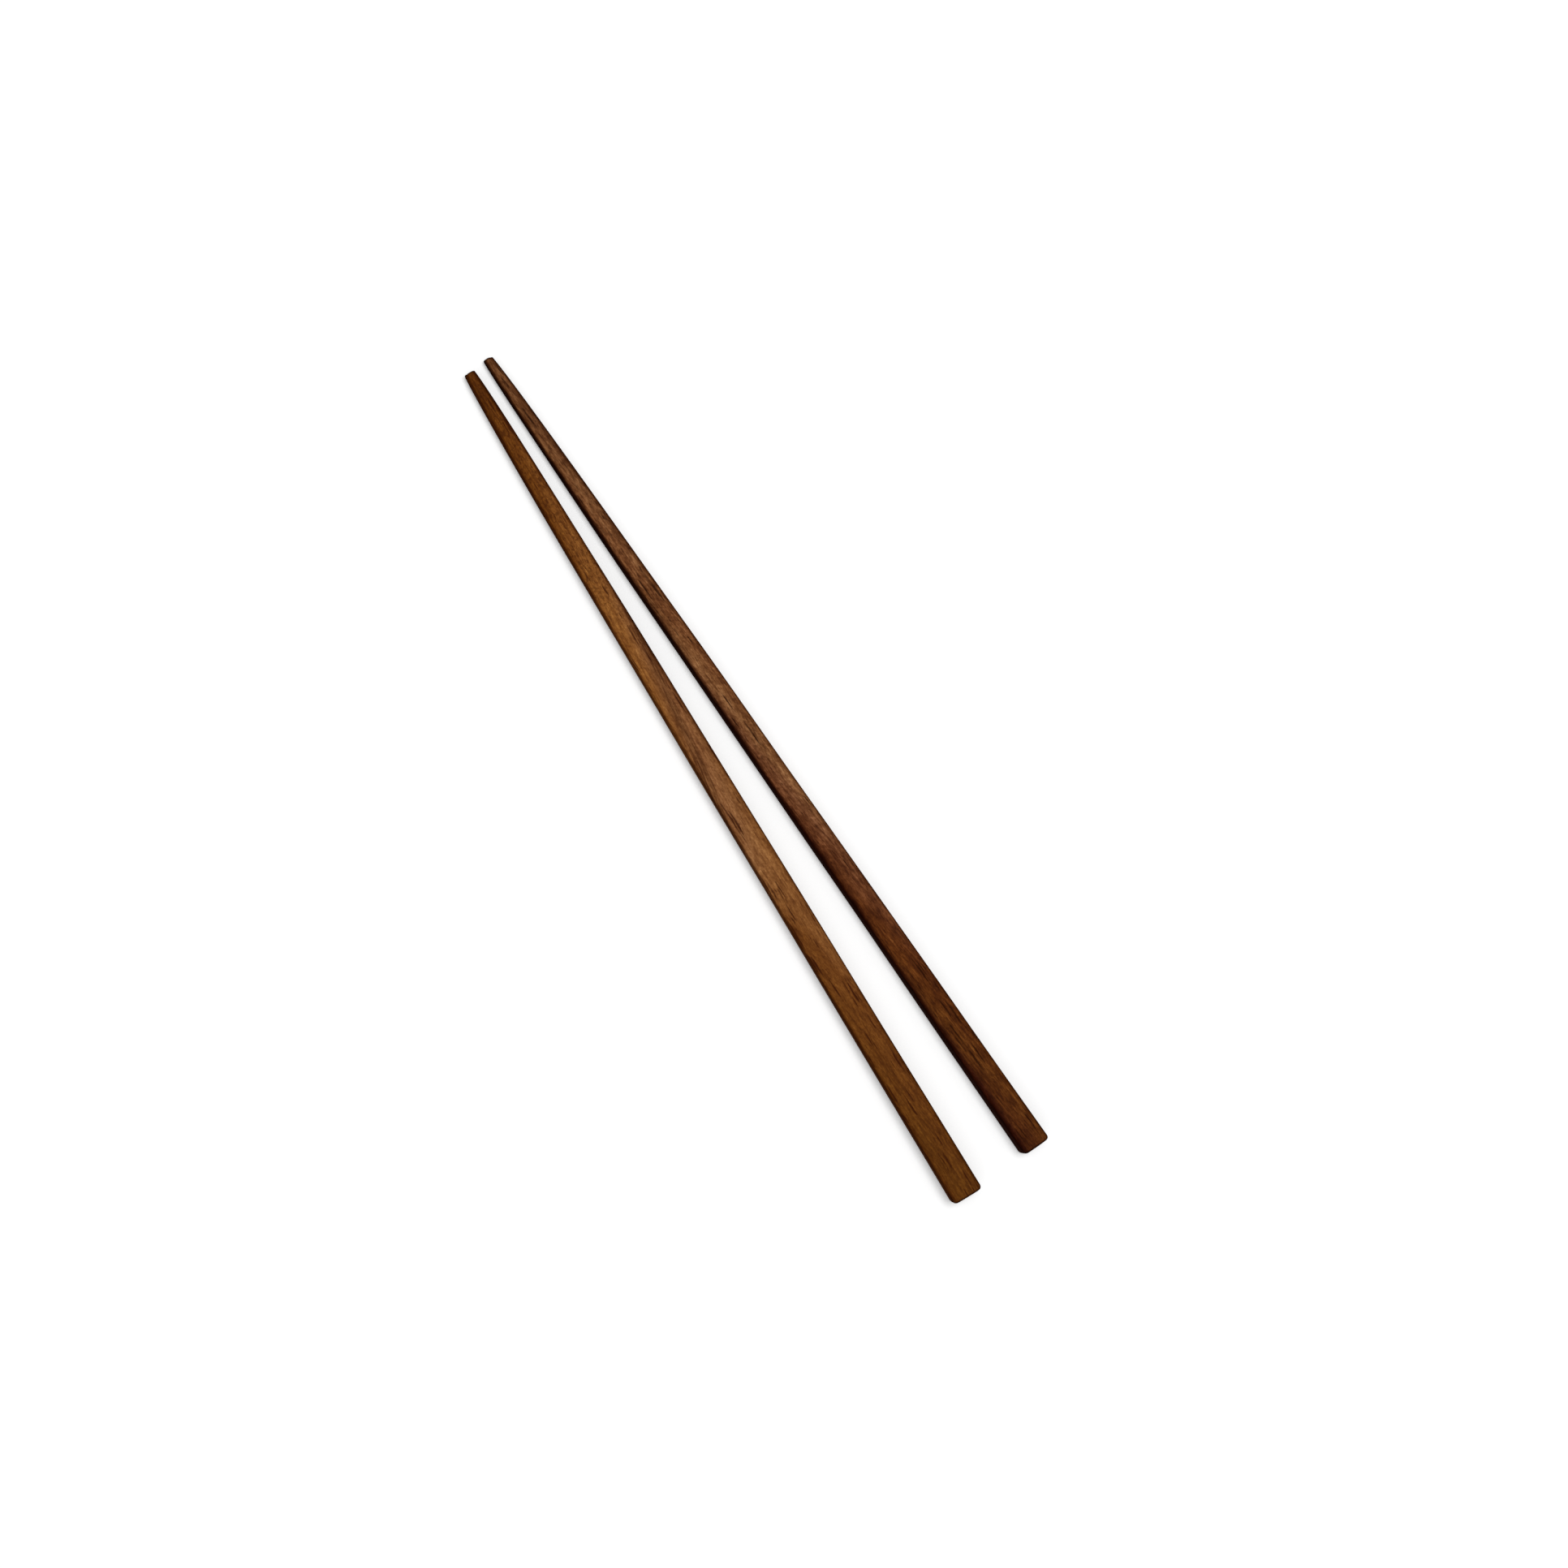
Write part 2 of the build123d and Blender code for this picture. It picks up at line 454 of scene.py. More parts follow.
@dataclass(frozen=True)
class WalnutFinish:
    """Oiled walnut with a satin surface, as a solid wood that every cut of a stick shows."""

    name: str
    tones: tuple[Tone, ...]
    vessel_colour: Triple
    drift: float
    slant: float
    start: float
    waver: float
    vessel_amount: float
    handle_flecks: float
    fore_flecks: float
    burl: float
    ripple_middle: float
    ripple_reach: float
    seed: float
    # Dark heartwood down the left side, which on the left flank is painted shade
    heart_and_shade_colour: Triple
    heart_and_shade_line: float
    heart_and_shade_share: float
    heart_and_shade_widening: float
    twist: float
    band: float
    band_width: float
    streak_strength: float
    broad_strength: float = 0.1
    grain_strength: float = 0.25
    hair_strength: float = 0.2
    felt_strength: float = 0.14
    mottle_strength: float = 0.15
    line_strength: float = 0.16
    ripple_strength: float = 0.13
    fleck_strength: float = 0.65
    vessel_cover: float = 0.85
    # Painted shade on the long edges and flanks, and on the ends' rims, where the end mask also darkens the
    # end grain
    painted_edge_shade: float = 0.5
    end_grain_and_rim_shade: float = 0.92
    skew: float = 0.03
    gloss: float = 0.02
    refraction: float = 1.48
    roughness: float = 0.5
    grain_roughness: float = 0.1
    vessel_roughness: float = 0.2
    flank_roughness: float = 0.4
    flank_start: float = 0.75
    hair_height: float = 0.25
    bump_strength: float = 0.35
    bump_depth: float = 0.06

    def material(self, groups: WoodGroups, place: Pair, turn: float) -> Material:
        """Makes the stick's material.

        The wood is worked out in the stick's own place: across, along from the butt, and up, in millimetres.

        Args:
            groups: The shared wood effects.
            place: Middle of the butt on the table, in millimetres.
            turn: The stick's turn about the upright, in radians.

        Returns:
            The finished material.
        """
        material = bpy.data.materials.new(self.name)
        board = NodeBoard.fresh(material)
        position = self.own_place(board, place, turn)
        across = board.painted("across")
        flow = groups.place(board, WoodGroup.FLOW, Position=position, Slant=self.skew, Seed=self.seed)
        rings = groups.place(board, WoodGroup.RINGS, Position=position, Drift=self.drift, Slant=self.slant,
                             Start=self.start, Waver=self.waver, Twist=self.twist, Band=self.band,
                             Band_Width=self.band_width)
        fibres = groups.place(board, WoodGroup.FIBRES, Position=flow["Position"], Seed=self.seed)
        vessels = groups.place(board, WoodGroup.VESSELS, Position=flow["Position"], Seed=self.seed,
                               Amount=self.vessel_amount, Handle_Flecks=self.handle_flecks,
                               Fore_Flecks=self.fore_flecks, Burl=self.burl)
        # Heartwood down the left side, painted shade on the left flank
        heart = groups.place(board, WoodGroup.HEART, Position=position, Across=across,
                             Line=self.heart_and_shade_line, Widening=self.heart_and_shade_widening)
        ripple = groups.place(board, WoodGroup.RIPPLE, Position=position,
                              Middle=self.ripple_middle, Reach=self.ripple_reach)
        flecks = board.times(vessels["Flecks"], self.fleck_strength)
        dashes = board.math("MAXIMUM", vessels["Mask"], flecks)

        # Grain, and the ripple's painted shimmer, swing the level about 1 by their strength, both ways
        level = board.times(ripple["Ripple"], self.ripple_strength, 1.0)
        for value, strength in ((fibres["Broad"], self.broad_strength),
                                (fibres["Grain"], self.grain_strength),
                                (fibres["Hair"], self.hair_strength),
                                (fibres["Felt"], self.felt_strength),
                                (fibres["Mottle"], self.mottle_strength),
                                (rings["Lines"], self.line_strength)):
            level = board.times(level, board.times(value, 2.0 * strength, 1.0 - strength))
        # Streaks only darken, and so do the masks painted on the mesh: painted shade on the long edges,
        # the sides and the ends' rims, where the end mask also darkens the end grain. The side mask holds its
        # strength already
        for value, strength in ((rings["Streaks"], self.streak_strength),
                                (board.painted("edge"), self.painted_edge_shade),
                                (board.painted("end"), self.end_grain_and_rim_shade),
                                (board.painted("side"), 1.0)):
            level = board.times(level, board.times(value, -strength, 1.0))
        stain = groups.place(board, WoodGroup.STAIN, Tone=self.tone(board, rings["Depth"]), Level=level,
                             Heartwood=linear(self.heart_and_shade_colour), Vessel=linear(self.vessel_colour),
                             Heart=board.times(heart["Mask"], self.heart_and_shade_share),
                             Dashes=board.times(dashes, self.vessel_cover))

        rough = board.times(fibres["Grain"], self.grain_roughness, self.roughness)
        rough = board.times(dashes, self.vessel_roughness, rough)
        flank = board.smooth(board.math("ABSOLUTE", across), self.flank_start, 1.0)
        rough = board.math("MINIMUM", board.times(flank, self.flank_roughness, rough), 1.0)
        height = board.math("SUBTRACT", board.times(fibres["Hair"], self.hair_height), dashes)
        bump = board.out("Bump", Strength=self.bump_strength, Distance=self.bump_depth * MM, Height=height)
        surface = board.out("BsdfPrincipled", Base_Color=stain["Colour"], Roughness=rough, Normal=bump,
                            IOR=self.refraction, Specular_IOR_Level=self.gloss)
        board.fill(board.add("OutputMaterial"), surface)
        return material

    def own_place(self, board: NodeBoard, place: Pair, turn: float) -> Socket:
        """Turns object coordinates into the stick's own place in millimetres."""
        middle = Matrix.Rotation(-turn, 2) @ Vector(place)
        return board.mapped(board.add("TexCoord").outputs["Object"], (-middle.x, -middle.y, 0.0),
                            (0.0, 0.0, -turn), (1 / MM,) * 3)

    def tone(self, board: NodeBoard, depth: Socket) -> Socket:
        """Reads the wood's colour at a ring depth.

        Args:
            board: The material's board.
            depth: The depth's socket.

        Returns:
            The colour's socket.
        """
        low, high = self.tones[0].depth, self.tones[-1].depth
        share = board.out("MapRange", Value=depth, From_Min=low, From_Max=high)
        ramp = board.fill(board.add("ValToRGB"), share)
        stops = ramp.color_ramp.elements
        for tone in self.tones[1:-1]:
            stops.new((tone.depth - low) / (high - low))
        for stop, tone in zip(stops, self.tones):
            stop.color = linear(tone.colour)
        return ramp.outputs["Color"]


@dataclass(frozen=True)
class Wave:
    """A waver of hand work: its size, the millimetres to a radian of it, and its share of the phase."""

    size: float
    length: float
    phase_share: float = 1.0

    def at(self, along: np.ndarray, phase: float) -> np.ndarray:
        """Gives the waver along a stick that has this phase: the size times a sine."""
        return self.size * np.sin(along / self.length + self.phase_share * phase)


# The edges' rounding wavers by a share of its radius, the sides and the top by millimetres
EDGE_WAVES = (Wave(0.07, 17.0), Wave(0.07, 7.1, 2.3))
SIDE_WAVE = Wave(0.025, 11.3)
TOP_WAVE = Wave(0.02, 8.7, 1.9)


@dataclass(frozen=True)
class Chip:
    """A small hollow in a tip's end: its middle across the stick, its reach to each side, and its depth."""

    middle: float
    reach: float
    depth: float

    def hollow(self, across: np.ndarray) -> np.ndarray:
        """Gives the hollow across the stick, as a bell curve."""
        return self.depth * np.exp(-(((across - self.middle) / self.reach) ** 2))


@dataclass(frozen=True)
class EndForm:
    """The finish of one end of a stick, in millimetres.

    The corners are rounded as seen from above, the upper and lower rim has a rounding of its own, and the
    middle stands out by the crown. A skew above 0 rounds the left corner more and the right one less. The
    reach is how far the end stands past the CAD part's, or short of it if below 0. The fall is how far a tip
    cut aslant is set back on its right side, and chips are small hollows in a tip.
    """

    corner: float
    rim: float
    crown: float
    skew: float = 0.0
    reach: float = 0.0
    fall: float = 0.0
    chips: tuple[Chip, ...] = ()

    def drawn_in(self, way: np.ndarray) -> np.ndarray:
        """Gives the insets of the sides and of the top, a way from the end's edge: quarter circles."""
        radius = np.array([[self.corner], [self.rim]])
        return radius - np.sqrt(radius**2 - (radius - np.minimum(way, radius)) ** 2)


@dataclass
class SurfaceGrid:
    """A closed surface of rings from one pole to the other, with a sheet map and painted masks.

    A mask that isn't named for the poles is 0 there.
    """

    points: np.ndarray
    poles: np.ndarray
    around: np.ndarray
    along: np.ndarray
    masks: dict[str, np.ndarray]
    pole_masks: dict[str, float]

    def mesh(self, name: str) -> Mesh:
        """Puts the grid into a mesh whose bake map is the unrolled sheet, cut into strips side by side.

        Args:
            name: The mesh's name.

        Returns:
            The mesh, with its faces outwards and its poles closed.
        """
        rows, columns = self.points.shape[:2]
        row = np.arange(rows - 1)[:, None]
        ring = np.arange(columns)
        after = (ring + 1) % columns
        quads = np.stack([(row + down) * columns + (ring + right) % columns for down, right in QUAD_STEPS],
                         axis=-1).reshape(-1, 4)
        count = rows * columns
        last_ring = count - columns
        first = np.stack([np.full(columns, count), ring, after], axis=-1)
        last = np.stack([np.full(columns, count + 1), last_ring + after, last_ring + ring], axis=-1)
        verts = np.vstack([self.points.reshape(-1, 3), self.poles])
        mesh = bpy.data.meshes.new(name)
        mesh.from_pydata(verts.tolist(), [], quads.tolist() + first.tolist() + last.tolist())
        layer = mesh.uv_layers.new(name="OFBake")
        layer.data.foreach_set("uv", self.sheet().astype(np.float32).ravel())
        for mask, values in self.masks.items():
            attribute = mesh.attributes.new(mask, "FLOAT", "POINT")
            ends = [self.pole_masks.get(mask, 0.0)] * 2
            attribute.data.foreach_set("value", np.append(values.ravel(), ends).astype(np.float32))
        mesh.polygons.foreach_set("use_smooth", np.ones(len(mesh.polygons), dtype=bool))
        mesh.validate()
        mesh.update()
        return mesh

    def sheet(self) -> np.ndarray:
        """Lays the unrolled surface out in strips.

        A point's place on the sheet is its way around, from the middle of the ring, and its way along. Each
        quad goes to the strip that its first row lies in, and the strips stand side by side. The triangles
        round a pole are one more narrow row, at each end of the sheet.

        Returns:
            The map's place for every face corner, in the mesh's order.
        """
        rows, columns = self.points.shape[:2]
        middle = self.around - self.around[:, -1:] / 2
        total = self.along[-1] - self.along[0]
        part = np.clip(((self.along - self.along[0]) / total * STRIPS).astype(int), 0, STRIPS - 1)
        widths = np.array([self.around[part == k, -1].max() for k in range(STRIPS)])
        centres = np.cumsum(widths + SHEET_GAP) - widths / 2
        starts = np.array([self.along[part == k].min() for k in range(STRIPS)])
        across_all = widths.sum() + SHEET_GAP * (STRIPS + 1)
        along_all = total / STRIPS + 2 * SHEET_MARGIN
        own = part[:-1]
        u = [np.stack([centres[own][:, None] + middle[down:rows - 1 + down, right:columns + right]
                       for down, right in QUAD_STEPS], axis=-1).ravel()]
        v = [np.stack([(self.along[down:rows - 1 + down] - starts[own])[:, None] + np.zeros(columns)
                       for down, _ in QUAD_STEPS], axis=-1).ravel()]
        for ring, step in ((0, 1), (-1, -1)):
            left, right = middle[ring][:-1], middle[ring][1:]
            base = (left, right)[::step]
            u.append(centres[part[ring]] + np.stack([(left + right) / 2, *base], axis=-1).ravel())
            level = self.along[ring] - starts[part[ring]]
            v.append(np.tile([level - step * FAN_HEIGHT, level, level], columns))
        return np.stack([np.concatenate(u) / across_all, (np.concatenate(v) + SHEET_MARGIN) / along_all], -1)


@dataclass
class Chopstick:
    """One stick: a square handle with rounded edges that runs in a long curve to a small, near-round tip."""

    name: str
    node: str
    slot: str
    finish: WalnutFinish
    butt: float
    shoulder: float
    tip: float
    lean: float
    place: Pair
    turn_degrees: float
    tip_end: EndForm
    butt_end: EndForm
    hand_phase: float
    # Painted shade on the left and right sides, growing to full on the fore part over the ramp below
    painted_side_shades: Pair
    painted_shade_ramp: Pair = (90.0, 190.0)
    edge_radius: float = 1.1
    flat_points: int = 12
    arc_points: int = 9
    cap_rings: int = 7
    cap_start: float = 0.14
    rim_rings: int = 12

    @property
    def turn(self) -> float:
        """The stick's turn about the upright, in radians."""
        return math.radians(self.turn_degrees)

    @property
    def taper(self) -> float:
        """How much the square narrows along the handle, per millimetre."""
        return (self.butt - self.shoulder) / HANDLE_LENGTH

    def size_at(self, along: np.ndarray) -> np.ndarray:
        """Gives the square's size along the stick.

        The handle narrows evenly. The fore part is a quadratic curve that leaves along the handle's taper,
        has its middle control point on that line a nose's length before the tip, and ends at the tip's size.

        Args:
            along: Distances from the butt.

        Returns:
            The sizes.
        """
        bend = LENGTH - NOSE_LENGTH
        bend_size = self.butt - self.taper * bend
        end = LENGTH + TIP_CROWN
        square = HANDLE_LENGTH - 2 * bend + end
        rise = 2 * (bend - HANDLE_LENGTH)
        rest = HANDLE_LENGTH - np.maximum(along, HANDLE_LENGTH)
        share = (-rise + np.sqrt(rise**2 - 4 * square * rest)) / (2 * square)
        fore = (1 - share) ** 2 * self.shoulder + 2 * share * (1 - share) * bend_size + share**2 * self.tip
        return np.where(along < HANDLE_LENGTH, self.butt - self.taper * along, fore)

    def outline(self) -> tuple[np.ndarray, np.ndarray, np.ndarray]:
        """Walks once round a rounded square, from the lower end of the right side upwards.

        A point is an inner corner path times the inner half size, plus a facing direction times the edge's
        radius. On a flat the path moves and the facing stays, and on an edge the facing turns.

        Returns:
            The inner path and the facing direction, both across and up, and the place on a flat, -1 to 1.
        """
        flat = np.linspace(-1, 1, self.flat_points)
        turn = np.linspace(0, np.pi / 2, self.arc_points + 2)[1:-1]
        path = np.concatenate([np.stack([np.ones_like(flat), flat], -1),
                               np.ones((self.arc_points, 2))])
        facing = np.concatenate([np.tile([1.0, 0.0], (self.flat_points, 1)),
                                 np.stack([np.cos(turn), np.sin(turn)], -1)])
        place = np.concatenate([flat, np.ones(self.arc_points)])
        quarter = np.array([[0.0, 1.0], [-1.0, 0.0]])
        turns = [np.linalg.matrix_power(quarter, k) for k in range(4)]
        return (np.concatenate([path @ t for t in turns]), np.concatenate([facing @ t for t in turns]),
                np.tile(place, 4))

    def rows(self) -> dict[str, np.ndarray]:
        """Lists the rings from the middle of the butt to the middle of the tip.

        Returns:
            For each ring its way along, how far its sides and its top are drawn in, its shift to the side,
            its share of the outline, its share of the end mask, which is painted shade on the rim and darker
            end grain on the end face, where its size is read, and its way along the unrolled sheet.
        """
        share = np.linspace(self.cap_start, 1.0, self.cap_rings)[:-1]
        ease = 1 - np.cos(np.linspace(0, np.pi / 2, self.rim_rings))
        near, far = self.butt_end, self.tip_end
        near_way, far_way = near.corner * ease, far.corner * ease[::-1]
        start, stop = -near.reach, LENGTH + far.reach
        near_rim, far_rim = start + near.crown + near_way, stop - far.crown - far_way
        body = np.concatenate([np.linspace(near_rim[-1], CLOSER_RINGS_FROM, BODY_RINGS)[1:-1],
                               np.linspace(CLOSER_RINGS_FROM, far_rim[0], NOSE_RINGS)[:-1]])
        still = np.zeros_like(share)
        along = np.concatenate([start + near.crown * share**2, near_rim, body, far_rim,
                                stop - far.crown * share[::-1] ** 2])
        near_in = near.drawn_in(np.concatenate([still, near_way, np.full_like(body, LENGTH)]))
        far_in = far.drawn_in(np.concatenate([far_way, still]))
        side_in, top_in = np.hstack([near_in, far_in])
        shift = np.concatenate([near.skew * near_in[0], far.skew * far_in[0]])
        scale = np.concatenate([share, np.ones(len(along) - 2 * len(share)), share[::-1]])
        # An end's mask is painted shade on its rim and fades over the rim; inside the rim, on the end face,
        # it is lighter and darkens the end grain
        near_end, far_end = (np.clip(1 - way / form.rim, 0, 1) ** 0.35
                             for way, form in ((near_way, near), (far_way, far)))
        face = END_FACE + (1 - END_FACE) * share**4
        end = np.concatenate([face, near_end, 0 * body, far_end, face[::-1]])
        base = np.concatenate([near_rim[0] + still, near_rim, body, far_rim, far_rim[-1] + still])
        half = self.size_at(base) / 2 - side_in
        steps = np.hypot(np.diff(along), np.diff(half * scale))
        return {"along": along, "side_in": side_in, "top_in": top_in, "shift": shift, "scale": scale,
                "end": end, "base": base, "sheet": np.concatenate([[0.0], np.cumsum(steps)])}

    def surface(self) -> SurfaceGrid:
        """Works out the stick's surface.

        Each ring is the rounded square at its place along. Flats are crowned a little, and sides and edge
        roundings waver as hand work does.

        Returns:
            The closed grid, in metres in the part's frame.
        """
        rows = self.rows()
        path, facing, place = self.outline()
        base, phase = rows["base"], self.hand_phase
        size = self.size_at(base)
        scale = rows["scale"][:, None]
        waver = sum(wave.at(base, phase) for wave in EDGE_WAVES)
        radius = np.minimum(self.edge_radius * (1 + waver), EDGE_SHARE * size)
        radius = radius * (1 - END_SHARPNESS * rows["end"])
        radius = np.minimum(radius, size / 2 - np.maximum(rows["side_in"], rows["top_in"]) - FLAT_LEFT)
        across, up = (path[:, k] * (size / 2 - rows[inset] - radius)[:, None] + facing[:, k] * radius[:, None]
                      for k, inset in enumerate(("side_in", "top_in")))

        above = np.clip(facing[:, 1] + 1.0, 0.0, 1.0)
        crown = FLAT_CROWN * (1 - place**2) * above * (size / self.butt)[:, None]
        sway = SIDE_WAVE.at(base, phase)[:, None] * facing[:, 0]
        swell = TOP_WAVE.at(base, phase)[:, None] * np.maximum(facing[:, 1], 0.0)
        push = crown + sway + swell
        across = (across + facing[:, 0] * push) * scale + rows["shift"][:, None]
        up = (up + facing[:, 1] * push) * scale

        steps = np.hypot(*(np.diff(part, axis=1, append=part[:, :1]) for part in (across, up)))
        around = np.concatenate([np.zeros((len(base), 1)), np.cumsum(steps, axis=1)], axis=1)
        middles = np.array([-self.butt_end.reach, LENGTH + self.tip_end.reach])
        aside = rows["shift"][[0, -1], None]
        poles = self.placed(aside, 0 * aside, middles, middles)[:, 0]
        share = np.clip(2 * across / size[:, None], -1.0, 1.0)
        return SurfaceGrid(self.placed(across, up, base, rows["along"]), poles, around, rows["sheet"],
                           self.masks(rows, facing, place, share), {"end": END_FACE})

    def masks(self, rows: dict[str, np.ndarray], facing: np.ndarray, place: np.ndarray,
              share: np.ndarray) -> dict[str, np.ndarray]:
        """Works out the painted masks.

        Edge is painted shade: 1 on the rounding of the long edges, easing off to the top, and weak in the
        middle of a flank. End is 1 on the rim of an end, where it is painted shade, and lighter on the end
        face, where it darkens the end grain. Across goes from -1 to 1 over the stick. Side is painted shade
        that grows with the square of across, by a strength of its own on each side, and both darken more on
        the fore part.

        Args:
            rows: The rings.
            facing: The outline's facing direction.
            place: The outline's place on a flat.
            share: Each point's place across, from -1 to 1.

        Returns:
            The masks by name.
        """
        start, stop = self.painted_shade_ramp
        fore = np.clip((rows["base"] - start) / (stop - start), 0.0, 1.0)[:, None]
        sideways = np.abs(facing[:, 0])
        turned = np.clip((sideways - EDGE_START + EDGE_START_DROP * fore) / EDGE_EASE, 0.0, 1.0)
        flank = np.where(sideways > 0.999, FLANK_MIDDLE + (1 - FLANK_MIDDLE) * place**4, 1.0)
        edge = turned**2 * (3 - 2 * turned) * flank * rows["scale"][:, None] ** 6
        strength = np.where(share < 0.0, *self.painted_side_shades) * (HANDLE_SIDE + (1 - HANDLE_SIDE) * fore)
        return {"edge": edge, "end": rows["end"][:, None] + 0 * share, "across": share,
                "side": strength * share**2}

    def placed(self, across: np.ndarray, up: np.ndarray, base: np.ndarray, along: np.ndarray) -> np.ndarray:
        """Puts rings into the part's frame.

        The tip is set back where hand work or use has taken wood off: the fall grows evenly from its left
        side to its right one, and chips are deepest at the very end and on the upper side. A ring's middle
        sinks with half the taper, so the underside of the handle is flat. Height leans the flanks sideways.
        The whole is then turned about the upright and moved to its place.

        Args:
            across: Place across each ring, in millimetres.
            up: Place up each ring, from its middle.
            base: Where each ring's size is read.
            along: Way along each ring.

        Returns:
            The points in metres, with the coordinates last.
        """
        at_tip = np.clip((along - LENGTH + TIP_WORK) / (TIP_WORK - TIP_WORK_FULL), 0.0, 1.0)[:, None]
        fall = self.tip_end.fall * np.clip(across / self.tip + 0.5, 0.0, 1.0) * at_tip
        chips = sum(chip.hollow(across) for chip in self.tip_end.chips) * at_tip**3
        own_y = along[:, None] - fall - chips * np.clip(0.6 + up, 0.0, 1.0)
        height = (self.butt - self.taper * base)[:, None] / 2 + up
        own_x = across + (height - self.butt / 2) * math.tan(math.radians(self.lean))
        cos_turn, sin_turn = math.cos(self.turn), math.sin(self.turn)
        x = self.place[0] + own_x * cos_turn - own_y * sin_turn
        y = self.place[1] + own_x * sin_turn + own_y * cos_turn
        return np.stack([x, y, height], axis=-1) * MM

    def build(self) -> Object:
        """Makes the stick's object from its surface and lets it stand for the CAD node."""
        piece = put(self.name, self.surface().mesh(self.name))
        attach(piece, BODY)
        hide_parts(self.node)
        return piece

    def dress(self, piece: Object, groups: WoodGroups) -> None:
        """Gives the stick its walnut."""
        piece.data.materials.append(self.finish.material(groups, self.place, self.turn))


@dataclass
class Table:
    """The white table under the sticks, which shows their shadow, with lengths in metres.

    Seen by the camera it is a pale matte face with a glow of its own, which grows to the far white over the
    fade. To light that falls from it on the sticks it is a duller matte face.
    """

    half_width: float = 3.0
    level: float = -0.00002
    bounce: float = 0.45
    catch: float = 0.88
    white: float = 0.22
    far_white: float = 0.7
    fade: Pair = (0.3, 1.2)
    shadow_reach: float = 0.025

    def build(self) -> Object:
        """Makes the table top as one wide flat face."""
        corner = np.array([[-1, -1], [1, -1], [1, 1], [-1, 1]]) * self.half_width
        verts = np.column_stack([corner, np.full(4, self.level)])
        mesh = bpy.data.meshes.new("table_top")
        mesh.from_pydata(verts.tolist(), [], [(0, 1, 2, 3)])
        piece = put("table_top", mesh)
        return piece

    def dress(self, piece: Object) -> None:
        """Gives the table a white that keeps the shadow, and a duller bounce towards the sticks."""
        material = bpy.data.materials.new("white_table")
        board = NodeBoard.fresh(material)
        place = board.add("TexCoord").outputs["Object"]
        away = board.fill(board.add("VectorMath", operation="LENGTH"), place).outputs["Value"]
        glow = board.out("Emission", Strength=board.smooth(away, *self.fade, self.white, self.far_white))
        shown = board.out("AddShader", board.out("BsdfDiffuse", Color=grey(self.catch)), glow)
        matte = board.out("BsdfDiffuse", Color=grey(self.bounce))
        pick = board.out("MixShader", seen_rays(board, self.shadow_reach), matte, shown)
        board.fill(board.add("OutputMaterial"), pick)
        piece.data.materials.append(material)


def seen_rays(board: NodeBoard, near: float = 0.0) -> Socket:
    """Tells the rays that show a surface, straight or by a mirror or glass, from those that only light.

    Args:
        board: The board of the material or world.
        near: Reach of the shadow in which a glossy ray doesn't meet the white, in metres.

    Returns:
        A socket that is 1 for camera, glossy and transmission rays.
    """
    path = board.add("LightPath")
    glossy = path.outputs["Is Glossy Ray"]
    if near > 0.0:
        glossy = board.times(glossy, board.smooth(path.outputs["Ray Length"], 0.2 * near, near))
    mirrored = board.math("MAXIMUM", glossy, path.outputs["Is Transmission Ray"])
    return board.math("MAXIMUM", path.outputs["Is Camera Ray"], mirrored)


@dataclass
class Studio:
    """A soft lamp high over the table, a little to +X, a room lit from overhead, and the camera.

    Angles are in degrees and the lamp's lengths in metres. The camera's target and eye are in millimetres.
    """

    lamp_tilt: float = 11.0
    lamp_heading: float = 10.0
    lamp_distance: float = 4.0
    lamp_size: float = 1.5
    lamp_share: float = 0.47
    room: float = 0.8
    room_sides: float = 0.1
    room_rise: Pair = (0.3, 0.95)
    target: Triple = (7.151, -8.84, 0.0)
    eye_offset: Triple = (-48.5, 32.14, 1000.0)
    picture_turn: float = 32.977
    focal_pixels: float = 5145.6
    picture_pixels: float = 1932.0
    sensor: float = 36.0

    def light(self) -> None:
        """Sets up the lamp and the room's light.

        A round lamp of power P and radius r at distance d lights a flat face by P times the cosine of its
        tilt, over pi times the sum of d squared and r squared. A white face looks white at a light of pi, so
        the lamp's share of that sets its power.
        """
        tilt = math.radians(self.lamp_tilt)
        heading = math.radians(self.lamp_heading)
        aside = math.sin(tilt)
        away = Vector((aside * math.cos(heading), aside * math.sin(heading), math.cos(tilt)))
        lamp = bpy.data.lights.new("soft_lamp", "AREA")
        lamp.shape = "DISK"
        lamp.size = self.lamp_size
        reach = self.lamp_distance**2 + (self.lamp_size / 2) ** 2
        lamp.energy = self.lamp_share * math.pi**2 * reach / math.cos(tilt)
        facing = away.to_track_quat("Z", "Y").to_matrix().to_4x4()
        put("soft_lamp", lamp).matrix_world = Matrix.Translation(away * self.lamp_distance) @ facing

        world = bpy.data.worlds.new("studio_room")
        board = NodeBoard.fresh(world)
        up = board.split(board.add("TexCoord").outputs["Generated"])[2]
        above = board.smooth(up, *self.room_rise, self.room_sides, self.room)
        strength = board.math("MAXIMUM", seen_rays(board), above)
        back = board.out("Background", Color=grey(1.0), Strength=strength)
        board.fill(board.add("OutputWorld"), back)
        bpy.context.scene.world = world

    def shoot(self) -> None:
        """Puts the camera where the photograph was taken from, a little left of straight above."""
        camera = bpy.data.cameras.new("camera")
        camera.sensor_width = self.sensor
        camera.lens = self.focal_pixels / self.picture_pixels * self.sensor
        camera.clip_start = 0.01
        camera.clip_end = 50.0
        target = Vector(self.target) * MM
        eye = target + Vector(self.eye_offset) * MM
        turn = math.radians(self.picture_turn)
        back = (eye - target).normalized()
        right = Vector((math.sin(turn), math.cos(turn), 0.0)).cross(back).normalized()
        up = back.cross(right)
        piece = put("camera", camera)
        piece.matrix_world = Matrix.Translation(eye) @ Matrix((right, up, back)).transposed().to_4x4()
        bpy.context.scene.camera = piece
        bpy.context.scene.view_settings.view_transform = "Standard"


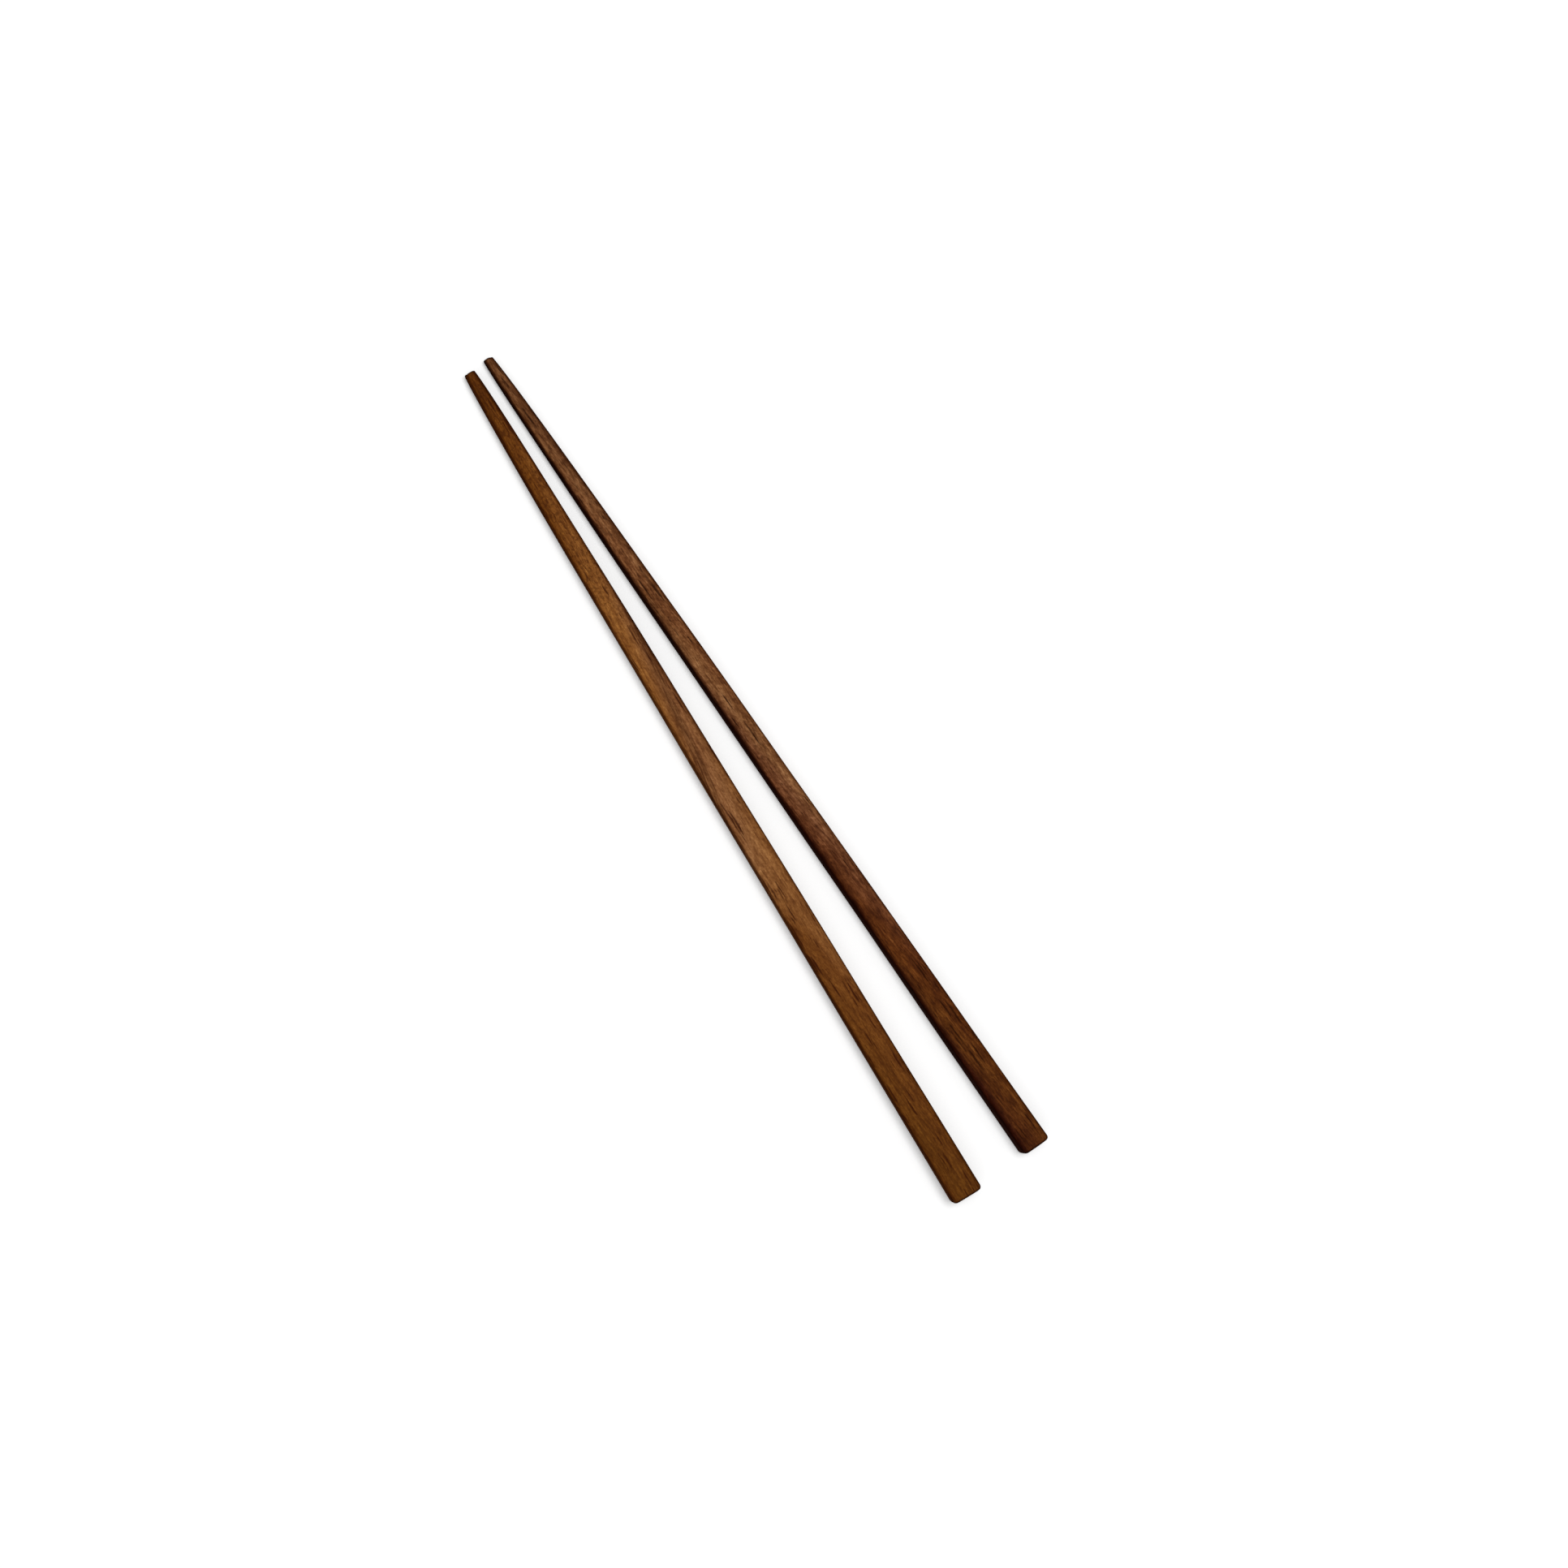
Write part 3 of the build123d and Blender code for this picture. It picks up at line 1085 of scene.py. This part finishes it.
GOLDEN_WALNUT = WalnutFinish(
    name="golden_walnut",
    tones=(
        Tone(-9.5, (88, 46, 9)), Tone(-7.0, (103, 57, 15)), Tone(-4.8, (124, 75, 30)),
        Tone(-2.8, (138, 87, 39)), Tone(-0.9, (127, 81, 43)), Tone(-0.2, (112, 70, 38)),
        Tone(0.6, (112, 71, 39)), Tone(1.6, (128, 82, 47)), Tone(3.2, (128, 83, 47)),
        Tone(5.2, (130, 83, 42)), Tone(7.2, (104, 59, 21)), Tone(10.0, (97, 54, 16)),
        Tone(13.5, (91, 51, 12)),
    ),
    vessel_colour=(54, 20, 6), heart_and_shade_colour=(82, 40, 12), heart_and_shade_line=-0.95, heart_and_shade_share=0.7,
    heart_and_shade_widening=0.15, twist=-0.6, band=0.2, band_width=1.8, streak_strength=0.44, drift=0.1,
    slant=0.3, start=11.8, waver=0.8, vessel_amount=0.64, handle_flecks=0.39, fore_flecks=0.45,
    burl=1.0, ripple_middle=140.0, ripple_reach=70.0, seed=2.3,
)

RED_WALNUT = WalnutFinish(
    name="red_walnut",
    tones=(
        Tone(-9.5, (75, 36, 10)), Tone(-7.4, (87, 46, 13)), Tone(-5.0, (86, 43, 12)),
        Tone(-3.6, (83, 41, 14)), Tone(-1.9, (98, 55, 29)), Tone(0.0, (112, 69, 41)),
        Tone(1.7, (125, 82, 48)), Tone(3.5, (117, 74, 41)), Tone(5.4, (117, 72, 40)),
        Tone(8.0, (116, 74, 42)), Tone(10.6, (100, 61, 33)),
    ),
    vessel_colour=(36, 12, 4), heart_and_shade_colour=(42, 11, 4), heart_and_shade_line=-0.72, heart_and_shade_share=0.9,
    heart_and_shade_widening=0.13, twist=0.6, band=-1.0, band_width=2.4, streak_strength=0.2, drift=-0.1,
    slant=0.35, start=-12.7, waver=1.0, vessel_amount=0.64, handle_flecks=0.43, fore_flecks=0.47,
    burl=0.4, ripple_middle=125.0, ripple_reach=70.0, seed=6.1, grain_strength=0.4,
    hair_strength=0.26, mottle_strength=0.24, ripple_strength=0.2,
)


def sticks() -> tuple[Chopstick, Chopstick]:
    """Lists the two sticks as they lie, each with its own sizes, turn and wood."""
    chips = (Chip(-0.68, 0.17, 0.22), Chip(-0.2, 0.2, 0.077))
    left = Chopstick(
        name="left_stick", node="left_chopstick", slot="left_stick_wood", finish=GOLDEN_WALNUT,
        butt=7.8, shoulder=6.5, tip=2.5, lean=2.0, place=(-9.925, -115.3), turn_degrees=-1.81,
        tip_end=EndForm(corner=0.4, rim=0.3, crown=0.08, skew=-0.4, reach=-0.27, chips=chips),
        butt_end=EndForm(corner=1.0, rim=0.5, crown=0.3, reach=0.27),
        hand_phase=0.6, painted_side_shades=(0.0, 0.6),
    )
    right = Chopstick(
        name="right_stick", node="right_chopstick", slot="right_stick_wood", finish=RED_WALNUT,
        butt=7.2, shoulder=5.85, tip=2.2, lean=5.5, place=(10.225, -114.7), turn_degrees=1.81,
        tip_end=EndForm(corner=0.45, rim=0.4, crown=0.2, skew=0.45, fall=0.5),
        butt_end=EndForm(corner=1.0, rim=0.5, crown=0.3),
        hand_phase=2.1, painted_side_shades=(0.4, 0.65),
    )
    return (left, right)


def main() -> None:
    """Builds and dresses the sticks, then the table, the light and the camera."""
    logging.basicConfig(level=logging.INFO, format="%(name)s: %(message)s")
    groups = WoodGroups()
    groups.build()
    for stick in sticks():
        piece = stick.build()
        stick.dress(piece, groups)
        log.info("%s: %d faces, in %s", piece.name, len(piece.data.polygons), stick.finish.name)
    table = Table()
    table.dress(table.build())
    log.info("table_top: stage")
    studio = Studio()
    studio.light()
    studio.shoot()


if __name__ == "__main__":
    main()
